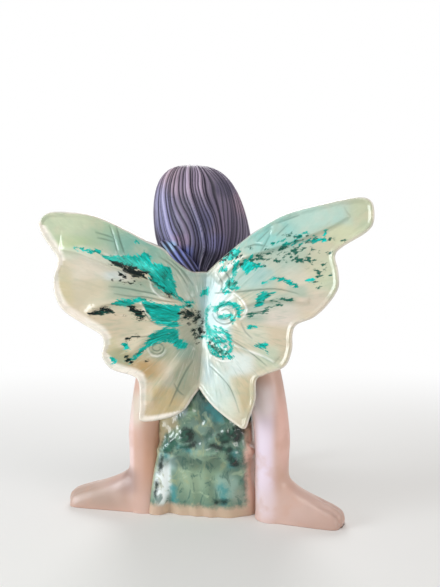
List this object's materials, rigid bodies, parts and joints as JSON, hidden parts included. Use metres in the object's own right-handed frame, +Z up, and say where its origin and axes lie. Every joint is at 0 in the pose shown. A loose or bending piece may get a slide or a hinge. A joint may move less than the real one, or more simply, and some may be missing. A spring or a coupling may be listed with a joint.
{
  "type": "fairy figurine",
  "caption": "Small seated fairy figurine in cast resin with spread butterfly wings, grooved hair, a green dress and flat hands beside the seat.",
  "frame": {"origin": "middle of the flat seat bottom, on the ground plane", "axes": "+X to the figure's left, +Y to its back, +Z up"},
  "size_m": [0.0683, 0.0527, 0.0752],
  "materials": {
    "skin": "satin painted resin, warm pale peach",
    "hair": "satin painted resin, mauve brown with dark grooves",
    "dress": "glossy marbled green paint with a peach hem",
    "wings": "glossy cream and pale green paint with patches of teal foil"
  },
  "bodies": {
    "root": {"figurine": "skin"}
  },
  "joints": []
}
